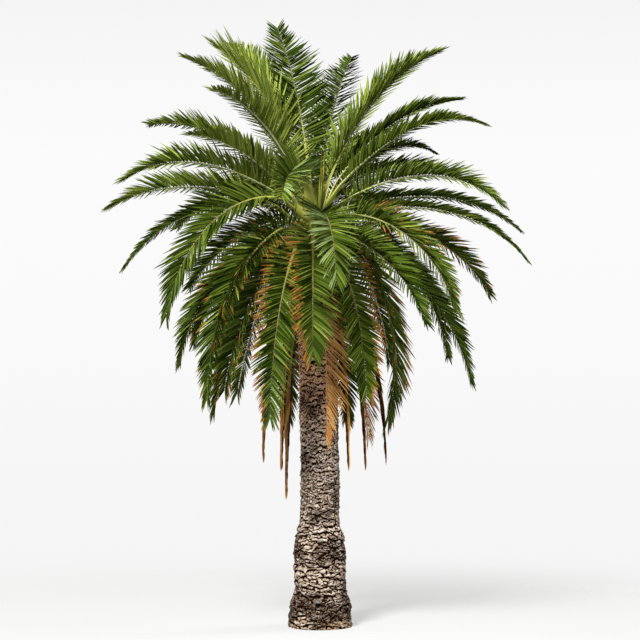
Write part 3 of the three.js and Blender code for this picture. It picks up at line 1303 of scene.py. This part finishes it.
@dataclass
class Frond:
    """One frond: a rib with folded leaflets in ranks along both sides.

    The rib ends END_LEAFLET of a leaflet short of the tip. Leaflets stray in size by STRAY and spring from
    the share SPRING of the rib's half-width. Those of the low ranks and the innermost ones are smaller.
    Tones darken by TONE_DRIFT along the rib. A browned tip takes up BURN segments, and up to BURN_MORE
    besides on a frond that has browned all over; the yellowing FRINGE is in segments too.
    """

    END_LEAFLET = 0.88
    STRAY = 0.08
    SPRING = 0.85
    LOW_SHORTER, LOW_NARROWER = 0.36, 0.3
    INNERMOST, INNER_LENGTH, INNER_WIDTH = 0.05, 0.6, 0.55
    TONE_DRIFT, TONE_STRAY = 0.45, 0.7
    BURN, BURN_MORE, BURN_STRAY, FRINGE = 1.1, 1.2, 0.6, 0.9

    rib: Rib
    habit: Habit
    character: Character
    dry: bool
    rng: np.random.Generator
    tone: float

    @property
    def end(self) -> float:
        """The share of the length at which the rib ends; its last leaflets reach the tip."""
        return 1 - self.END_LEAFLET * (1 - self.habit.taper) * self.habit.longest / self.rib.length

    def _profile(self, along: Array) -> Array:
        """The leaflets' length as a share of the longest one."""
        return (0.62 + 0.38 * smooth(0, 0.16, along)) * (1 - self.habit.taper * smooth(0.6, 1.0, along))

    def _dry_tones(self, count: int, side: float) -> Array:
        """Deals a brown to each leaflet of a side, darker on the second side as painted shade.

        Args:
            count: how many leaflets it has.
            side: which side it is.

        Returns:
            A tone's number for each leaflet.
        """
        # Painted shade: the second side's browns are darker.
        mean = self.tone + (self.habit.painted_shade_steps if side < 0 else 0)
        drawn = np.clip(mean + self.rng.normal(0, 0.6, count), 0, 3).round().astype(int)
        return numbers_of(BROWNS)[drawn][:, None]

    def _live_tones(self, along: Array, side: float) -> Array:
        """Deals greens to the leaflets of a side, a paler green as a painted highlight to some, and browns
        to the tips of some.

        Args:
            along: where each leaflet grows, as a share of the rib that bears leaflets.
            side: which side it is.

        Returns:
            A tone's number for each segment of each leaflet.
        """
        count, segments, rng = len(along), LEAFLET.segments, self.rng
        drift = self.tone + self.TONE_DRIFT * (along - 0.5) + rng.normal(0, self.TONE_STRAY, count)
        base = numbers_of(GREENS)[np.clip(drift, 0, len(GREENS) - 1).round().astype(int)]
        # Painted highlight: some leaflets of one side get the paler green.
        painted_highlight_share = self.character.painted_highlight_share * side
        painted_shine = (0.5 + 0.22 * wander(rng, count, 9) < painted_highlight_share) & (painted_highlight_share > 0)
        base = np.where(painted_shine, TONES.index(Tone.PAINTED_HIGHLIGHT), base)
        browned = (self.habit.browned + self.character.browned) * (1 + self.character.edge * side)
        burnt = 0.5 + 0.2 * wander(rng, count, 15) + 0.1 * rng.normal(size=count) < browned
        burnt &= browned > 0.02
        reach = rng.normal(self.BURN + browned * self.BURN_MORE, self.BURN_STRAY, count)
        reach = np.where(burnt, reach, 0)[:, None]
        step = segments - np.arange(segments)
        browns = numbers_of(TIPS)[rng.integers(0, len(TIPS), count)][:, None]
        dealt = np.where(step <= reach + self.FRINGE, TONES.index(Tone.YELLOWING), base[:, None])
        return np.where(step <= reach, browns, dealt)

    def grow(self, sheaf: Sheaf) -> None:
        """Adds the frond's leaflets to a sheaf."""
        for side in (1.0, -1.0):
            self._grow_side(sheaf, side)

    def _grow_side(self, sheaf: Sheaf, side: float) -> None:
        """Adds the leaflets of one side.

        Args:
            sheaf: where they go.
            side: 1 for the side that the rib's across points to, -1 for the other.
        """
        habit, character, rng = self.habit, self.character, self.rng
        count = max(int((self.end - character.bare) * self.rib.length / habit.spacing), 8)
        along = np.clip((np.arange(count) + 0.5 + rng.uniform(-0.3, 0.3, count)) / count, 0, 1)
        if side < 0:
            along = along[rng.random(count) >= character.shed]
            count = len(along)
        shares = blend(character.bare, self.end, along)
        place, forward, across, above = self.rib.at(shares)
        ranks = np.array(habit.ranks)[np.arange(count) % len(habit.ranks)]
        ranks = ranks * character.rise * (1 - 0.45 * smooth(0.6, 1, along))
        tilt = ranks + habit.scatter * (rng.normal(size=count) + wander(rng, count, 5))
        tilt = np.radians(tilt)[:, None]
        outward = side * across * np.cos(tilt) + above * np.sin(tilt)
        opening = blend(habit.foot_angle, habit.middle_angle, smooth(0, 0.42, along))
        opening = blend(opening, habit.tip_angle, smooth(habit.closing, 1.05, along) ** 1.3)
        stray = habit.scatter * (0.5 * rng.normal(size=count) + wander(rng, count, 3))
        opening = character.sweep * opening + stray
        low, profile, inner = smooth(15, -5, ranks), self._profile(along), along < self.INNERMOST
        length = habit.longest * character.reach * profile * rng.normal(1, self.STRAY, count)
        length = length * (1 - self.LOW_SHORTER * low) * np.where(inner, self.INNER_LENGTH, 1)
        width = habit.width * (0.72 + 0.28 * profile) * rng.normal(1, self.STRAY, count)
        width = width * (1 - self.LOW_NARROWER * low) * np.where(inner, self.INNER_WIDTH, 1)
        start = place + outward * (RIB_SHAPE.half_width(shares * self.rib.length)[:, None] * self.SPRING)
        line, heading = self._lines(start, forward, outward, opening, length)
        cant = -character.cant if side < 0 else 0
        twist = np.radians(rng.normal(cant, habit.twist, count))[:, None, None]
        wide = unit(forward[:, None] - heading * (heading * forward[:, None]).sum(-1, keepdims=True))
        facing = side * np.cross(wide, heading)
        turned = wide * np.cos(twist) + facing * np.sin(twist)
        normal = facing * np.cos(twist) - wide * np.sin(twist)
        points = LEAFLET.points(line, turned[:, :-1], normal[:, :-1], width)
        tones = self._dry_tones(count, side) if self.dry else self._live_tones(along, side)
        LEAFLET.add(sheaf, points, tones)

    def _lines(
        self, start: Array, forward: Array, outward: Array, opening: Array, length: Array
    ) -> tuple[Array, Array]:
        """The leaflets' middles, which arch forward and hang a little towards their tips.

        Args:
            start: where each leaflet springs from the rib.
            forward: the rib's direction there.
            outward: the direction straight away from the rib.
            opening: how far the leaflet opens from the rib, in degrees.
            length: its length.

        Returns:
            Each middle as points from foot to tip, and its direction at each of them.
        """
        steps = np.arange(LEAFLET.segments + 1) / LEAFLET.segments
        angle = np.radians(opening[:, None] - self.habit.curl * steps)[..., None]
        sag = (self.habit.droop * self.rng.uniform(0.6, 1.4, len(start)))[:, None] * steps**1.6
        heading = np.cos(angle) * forward[:, None] + np.sin(angle) * outward[:, None] - sag[..., None] * UP
        heading = unit(heading)
        moves = heading[:, :-1] * (length / LEAFLET.segments)[:, None, None]
        line = np.concatenate([np.zeros_like(moves[:, :1]), np.cumsum(moves, axis=1)], axis=1)
        return start[:, None] + line, heading


@dataclass
class Crown:
    """All fronds, tier by tier: their leaflets in a piece for each tier, and their ribs in two.

    Attributes:
        twist: how far fronds turn about their ribs, in degrees.
        dry_slim: factor on a dry rib's section.
    """

    twist: float = 9
    dry_slim: float = 0.7

    def _frond(self, number: int, node: str, tier: Tier) -> Frond:
        """One frond with its own tone and turn.

        Args:
            number: its place among all fronds, which starts its random draws.
            node: its packed blade.
            tier: its tier.

        Returns:
            The frond.
        """
        rng = np.random.default_rng(SEED + 31 * number)
        habit = HABITS[tier]
        character = CHARACTERS.get(node, Character())
        rib = Rib(node, math.radians(character.roll), math.radians(rng.normal(0, self.twist)), not tier.dry)
        stray = rng.normal(0, 0.15)
        tone = habit.tone + character.tone + (0 if tier.dry else stray)
        return Frond(rib, habit, character, tier.dry, rng, tone)

    def dress(self) -> None:
        """Builds every tier."""
        leaf_materials = [tone.value.material() for tone in TONES]
        total = sum(len(tier.nodes) for tier in Tier)
        ribs = {True: Sheaf(), False: Sheaf()}
        number = 0
        for tier in Tier:
            leaflets = Sheaf()
            for node in tier.nodes:
                frond = self._frond(number, node, tier)
                frond.grow(leaflets)
                strip = (number / total, (number + 0.9) / total)
                slim = self.dry_slim if tier.dry else 1.0
                RIB_SHAPE.add(ribs[tier.dry], frond.rib, frond.end, strip, slim, frond.habit.age)
                number += 1
            piece = leaflets.build(f"leaflets_{tier.value}", leaf_materials)
            report(piece, tier.nodes)
        for dry, name, finish in ((True, "ribs_dry", DRY_RIB), (False, "ribs_live", LIVE_RIB)):
            tiers = [tier for tier in Tier if tier.dry == dry]
            piece = ribs[dry].build(name, [finish.material()])
            report(piece, [node for tier in tiers for node in tier.nodes])


# ---------------- heart


@dataclass
class Heart:
    """The crown's core: a fibrous body packed with cut leaf bases, and the bud's unopened spears.

    Attributes:
        column: the trunk's outline.
        sides: faces round the body.
        rows: rings of points of the body.
        foot: height of its foot.
        top: height of its top.
        girth: its radius on the trunk and where it is thickest.
        unevenness: how far its fibres stand out, as a share of the radius.
        bases: how many leaf bases.
        base_top: height of the uppermost leaf base.
        base_lean: how steeply they point up, in degrees, and how far that strays.
        base_lengths: length of the shortest and of the longest.
        base_steps: the places of a leaf base's sections, as shares of its length.
        base_widths: half the width at each of them.
        base_depths: the depth at each of them.
        base_sides: faces round a leaf base.
        spears: how many unopened spears.
        spear_leaflets: how many leaflets a spear shows.
        spear_width: their width.
        spear_leans: how far the straightest and the most slanting spear lean, in degrees.
        spear_lengths: length of the shortest and of the longest spear.
    """

    column: Column
    sides: int = 72
    rows: int = 70
    foot: float = 5.49
    top: float = 6.5
    girth: tuple[float, float] = (0.305, 0.36)
    unevenness: float = 0.09
    bases: int = 72
    base_top: float = 6.1
    base_lean: tuple[float, float] = (58, 5)
    base_lengths: tuple[float, float] = (0.13, 0.22)
    base_steps: tuple[float, ...] = (0, 0.35, 0.7, 0.97, 1.0)
    base_widths: tuple[float, ...] = (0.115, 0.1, 0.085, 0.078, 0.0)
    base_depths: tuple[float, ...] = (0.05, 0.046, 0.04, 0.037, 0.0)
    base_sides: int = 12
    spears: int = 4
    spear_leaflets: int = 14
    spear_width: float = 0.04
    spear_leans: tuple[float, float] = (4, 11)
    spear_lengths: tuple[float, float] = (1.0, 1.5)

    def _radius(self, height: Array) -> Array:
        """The body's radius, which swells over the trunk and closes to the bud.

        Args:
            height: the heights.

        Returns:
            The radius at each of them.
        """
        share = (height - self.foot) / (self.top - self.foot)
        swollen = blend(*self.girth, smooth(0, 0.3, share))
        return swollen * np.sqrt(np.clip(1 - np.clip(share, 0, 1) ** 2.6, 0.0004, 1))

    @staticmethod
    def _fibres(turn: float, height: float) -> float:
        """How far the body's fibres stand out at an angle and a height, from about -1 to 1."""
        return noise.fractal(Vector((math.cos(turn) * 3, math.sin(turn) * 3, height * 5)), 0.8, 2.2, 4)

    def _body(self, sheaf: Sheaf) -> None:
        """Adds the fibrous body.

        Args:
            sheaf: where its faces go.
        """
        levels = np.linspace(self.foot, self.top, self.rows)
        turn = ring(self.sides)
        centre = self.column.axis(TRUNK_TOP)
        fibres = np.array([[self._fibres(angle, level) for angle in turn] for level in levels])
        fibres[:, -1] = fibres[:, 0]
        radius = self._radius(levels)[:, None] * (1 + self.unevenness * fibres)
        aside, forward = centre[0] + radius * np.cos(turn), centre[1] + radius * np.sin(turn)
        sheaf.add_grid(
            np.dstack([aside, forward, np.broadcast_to(levels[:, None], aside.shape)]),
            flat_grid((turn / math.pi + 1) / 4, np.linspace(0, 1, self.rows)),
            # Painted shade where the fibres sink in.
            crevice=smooth(0.1, -0.5, fibres),
            scar=0.7,
            soot=0.2,
            height=((levels - self.foot) / (self.top - self.foot))[:, None],
        )

    def _base(self, sheaf: Sheaf, number: int, rng: np.random.Generator) -> None:
        """Adds one cut leaf base, a flat tapering stub that points up and out.

        Args:
            sheaf: where its faces go.
            number: its place in the spiral.
            rng: source of the random values.
        """
        share = number / self.bases
        height = blend(self.foot + 0.05, self.base_top, share)
        turn = number * GOLDEN_ANGLE
        outward = np.array([math.cos(turn), math.sin(turn), 0.0])
        across = np.array([-outward[1], outward[0], 0.0])
        lean = math.radians(rng.normal(*self.base_lean))
        along = outward * math.cos(lean) + UP * math.sin(lean)
        above = np.cross(along, across)
        start = np.append(self.column.axis(TRUNK_TOP), height)
        start = start + outward * float(self._radius(np.array(height))) * 0.82
        reach = rng.uniform(*self.base_lengths)
        angles = np.linspace(0, 2 * math.pi, self.base_sides + 1)
        aside = np.cos(angles) * np.array(self.base_widths)[:, None]
        rise = np.where(np.sin(angles) > 0, 0.15, 0.8) * np.sin(angles) * np.array(self.base_depths)[:, None]
        rings = start + along * (np.array(self.base_steps) * reach)[:, None]
        flat = flat_grid(np.linspace(0, 1, self.base_sides + 1), np.array(self.base_steps))
        sheaf.add_grid(
            rings[:, None] + aside[..., None] * across + rise[..., None] * above,
            flat * (0.05, 1 / self.bases * 0.9) + (0.55, share),
            # Painted shade where the stub meets the body; darker again on its cut end.
            crevice=np.array([0.9, 0.35, 0.0, 0.0, 0.3])[:, None],
            scar=rng.random(),
            soot=rng.uniform(0, 0.5),
            height=blend(0.2, 1.0, share),
        )

    def _spear(self, sheaf: Sheaf, number: int, rng: np.random.Generator) -> None:
        """Adds one unopened frond, which stands in the middle of the bud.

        Args:
            sheaf: where its faces go.
            number: its place in the spiral.
            rng: source of the random values.
        """
        turn = number * GOLDEN_ANGLE + 0.6
        outward = np.array([math.cos(turn), math.sin(turn), 0.0])
        lean = math.radians(rng.uniform(*self.spear_leans))
        along = outward * math.sin(lean) + UP * math.cos(lean)
        start = np.append(self.column.axis(TRUNK_TOP), self.top - 0.25) + outward * 0.05
        reach = rng.uniform(*self.spear_lengths)
        count = self.spear_leaflets
        base = start + along * np.linspace(0, 0.45 * reach, count)[:, None]
        around = np.arange(count) * GOLDEN_ANGLE
        spread = np.stack([np.cos(around), np.sin(around), 0 * around], axis=-1)
        heading = unit(along + 0.045 * spread)
        steps = np.linspace(0, 0.55 * reach, LEAFLET.segments + 1)[:, None]
        line = base[:, None] + heading[:, None] * steps
        wide = unit(np.cross(heading, spread))[:, None]
        points = LEAFLET.points(line, wide, spread[:, None], np.full(count, self.spear_width))
        fresh, old = numbers_of((Tone.FRESH, Tone.YELLOWING))
        LEAFLET.add(sheaf, points, np.where(rng.random(count) < 0.5, fresh, old)[:, None])

    def dress(self) -> None:
        """Builds the body with its leaf bases, and the spears."""
        rng = np.random.default_rng(SEED)
        stubs, bud = Sheaf(), Sheaf()
        self._body(stubs)
        for number in range(self.bases):
            self._base(stubs, number, rng)
        report(stubs.build("heart_leaf_bases", [BASES.material()]), ["heart"])
        for number in range(self.spears):
            self._spear(bud, number, rng)
        spears = bud.build("bud_spears", [tone.value.material() for tone in TONES])
        report(spears, ["heart"])


# ---------------- studio


@dataclass
class Studio:
    """A pale floor that fades into the backdrop, soft light, and a level camera in front.

    Attributes:
        distance: from the camera to the trunk.
        eye: the camera's height.
        lens: its focal length in millimetres.
        floor_radius: radius of the floor, where it has turned clear.
        floor_clear: radius from which it begins to.
        floor_glow: strength of its own light.
        lamps: name, place, size and power in watts of each lamp.
        aim: the place that the lamps face.
        greys: the backdrop's places, from low to high, and their greys.
        steepness: how fast the backdrop runs through them.
    """

    distance: float = 38.0
    eye: float = 4.9
    lens: float = 133.59
    floor_radius: float = 12.0
    floor_clear: float = 2.0
    floor_glow: float = 0.41
    lamps: tuple[tuple[str, Triple, float, float], ...] = (
        ("key", (-8, -20, 22), 7, 15500),
        ("rim", (14, 6, 16), 6, 1500),
        ("fill", (5, -28, 3), 8, 1600),
    )
    aim: Triple = (0, 0, 6)
    greys: tuple[tuple[float, int], ...] = (
        (0.0, 244), (0.25, 246), (0.55, 250), (0.75, 251), (0.92, 247), (1.0, 244)
    )
    steepness: float = 3.7

    def _camera(self) -> None:
        """Sets the camera level with the middle of the tree."""
        data = bpy.data.cameras.new("camera")
        data.lens = self.lens
        data.clip_end = 400
        camera = add_object("camera", data)
        camera.location = (0, -self.distance, self.eye)
        camera.rotation_euler = (math.pi / 2, 0, 0)
        bpy.context.scene.camera = camera

    def _floor(self) -> None:
        """Adds the floor, a disc that turns clear towards its rim."""
        graph, material = Graph.for_material("floor")
        measured = graph.node("ShaderNodeVectorMath", {"operation": "LENGTH"}, {0: graph.place()})
        reach = Value(graph, measured.outputs["Value"])
        graph.surface(
            Base_Color=display(150, 150, 149),
            Roughness=0.9,
            Specular_IOR_Level=0.0,
            Emission_Color=(1, 1, 1, 1),
            Emission_Strength=self.floor_glow,
            Alpha=1 - reach.step(self.floor_clear, self.floor_radius),
        )
        bpy.ops.mesh.primitive_circle_add(vertices=96, radius=self.floor_radius, fill_type="NGON")
        floor = bpy.context.object
        floor.name = "floor"
        floor.data.materials.append(material)

    def _lamp(self, name: str, place: Triple, size: float, power: float) -> None:
        """Adds a square soft light that faces the crown.

        Args:
            name: its name.
            place: where it hangs.
            size: the length of its sides.
            power: its power in watts.
        """
        data = bpy.data.lights.new(name, "AREA")
        data.size = size
        data.energy = power
        lamp = add_object(name, data)
        lamp.location = place
        lamp.rotation_euler = (Vector(self.aim) - Vector(place)).to_track_quat("-Z", "Y").to_euler()

    def _world(self) -> None:
        """Lights from a dome that is brighter above, and shows a plain backdrop."""
        world = bpy.data.worlds.new("studio")
        bpy.context.scene.world = world
        graph = Graph(world)
        heading = graph.node("ShaderNodeTexCoord").outputs["Generated"]
        rise = Value(graph, graph.node("ShaderNodeSeparateXYZ", None, {0: heading}).outputs["Z"])
        dome = graph.mix(rise.step(-0.3, 0.9), (0.03, 0.03, 0.03, 1), (0.6, 0.6, 0.59, 1))
        shades = {"stops": tuple((place, display(grey, grey, grey)) for place, grey in self.greys)}
        share = rise * self.steepness + 0.5
        backdrop = graph.node("ShaderNodeValToRGB", shades, {"Fac": share}).outputs["Color"]
        seen = graph.node("ShaderNodeLightPath").outputs["Is Camera Ray"]
        colour = graph.mix(seen, dome, backdrop)
        background = graph.node("ShaderNodeBackground", None, {"Color": colour, "Strength": 1.0})
        graph.node("ShaderNodeOutputWorld", None, {"Surface": background.outputs["Background"]})

    def build(self) -> None:
        """Sets up the whole studio."""
        self._camera()
        self._floor()
        self._world()
        for lamp in self.lamps:
            self._lamp(*lamp)
        bpy.context.scene.view_settings.view_transform = "Standard"


def main() -> None:
    """Builds the palm and the studio."""
    logging.basicConfig(level=logging.INFO, format="%(name)s %(message)s")
    Studio().build()
    column = Column()
    scars = ScarField((0.014, 0.0105), 0.45, (0.028, 0.2), SEED)
    shards = ScarField((0.0042, 0.0028), 0.5, (0.02, 0.4), SEED + 1)
    Trunk(column, scars, shards).dress()
    Heart(column).dress()
    Crown().dress()


if __name__ == "__main__":
    main()
